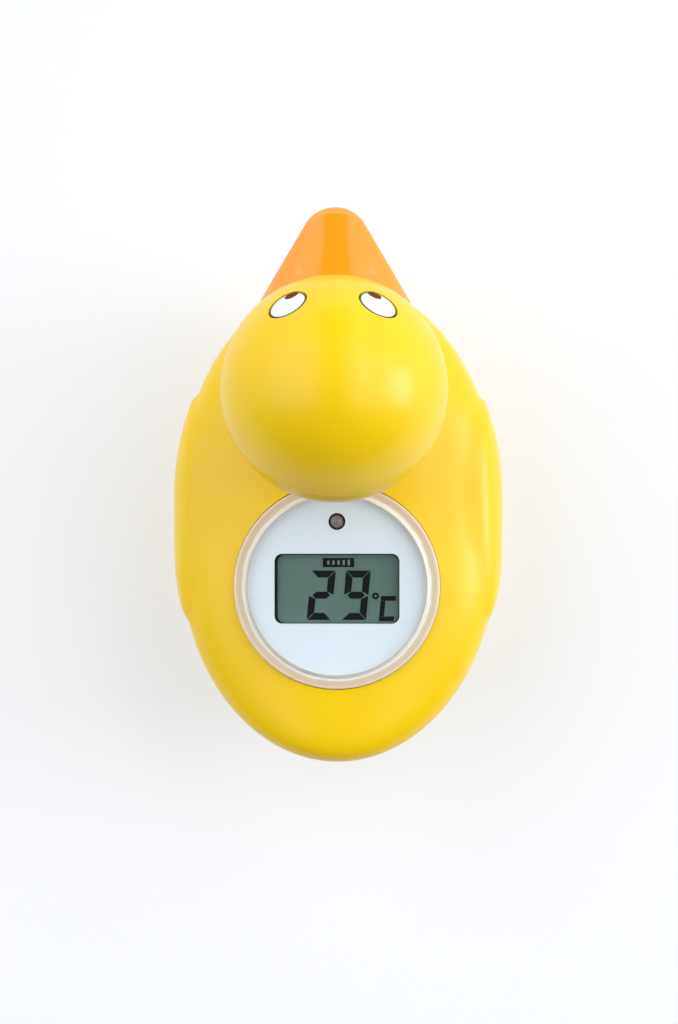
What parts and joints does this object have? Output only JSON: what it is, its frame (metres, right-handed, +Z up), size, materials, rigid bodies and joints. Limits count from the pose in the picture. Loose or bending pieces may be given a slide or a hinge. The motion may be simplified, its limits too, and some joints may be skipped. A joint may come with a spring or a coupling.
{
  "type": "duck-shaped floating bath thermometer",
  "caption": "Hollow vinyl bath duck with a glossy beak and a sealed round digital thermometer module set upright through its back and base.",
  "frame": {"origin": "middle of the footprint's bounding box, on the surface that the duck stands on", "axes": "+Z up, beak towards -Y, tail towards +Y, +X to the duck's left wing"},
  "size_m": [0.0658, 0.1058, 0.0868],
  "materials": {
    "vinyl": "satin moulded soft vinyl, warm yellow",
    "beak_plastic": "glossy moulded orange plastic",
    "clear_plastic": "clear moulded polycarbonate",
    "silicone": "translucent pale silicone",
    "white_plastic": "smooth cool white ABS",
    "lcd_glass": "grey-green reflective LCD glass",
    "black_plastic": "fine textured black plastic",
    "strip_rubber": "layered conductive silicone strip",
    "board": "green solder mask on glass epoxy",
    "led_epoxy": "water-clear epoxy with a dark die cup",
    "steel": "bright stainless steel",
    "contact_metal": "nickelled spring strip",
    "seal_rubber": "soft black seal rubber",
    "lead_white": "white wire insulation",
    "lead_blue": "blue wire insulation",
    "lead_black": "black wire insulation",
    "lead_red": "red wire insulation"
  },
  "bodies": {
    "root": {"duck_shell": "vinyl", "beak": "beak_plastic", "window_cap": "clear_plastic", "cap_gasket": "silicone", "face_plate": "white_plastic", "lcd_panel": "lcd_glass", "lcd_frame": "black_plastic", "zebra_strip": "strip_rubber", "circuit_board": "board", "controller_chip": "black_plastic", "warning_led": "led_epoxy", "board_screw_1": "steel", "board_screw_2": "steel", "board_screw_3": "steel", "board_screw_4": "steel", "module_housing": "white_plastic", "battery_cover": "white_plastic", "cover_seal": "seal_rubber", "cover_screw_1": "steel", "cover_screw_2": "steel", "coin_cell": "steel", "battery_tray": "black_plastic", "negative_contact": "contact_metal", "positive_contact": "contact_metal", "probe_cap": "steel", "thermistor": "black_plastic", "water_pin_1": "steel", "water_pin_2": "steel", "probe_lead": "lead_white", "pin_lead_1": "lead_blue", "pin_lead_2": "lead_blue", "negative_lead": "lead_black", "positive_lead": "lead_red"}
  },
  "joints": []
}
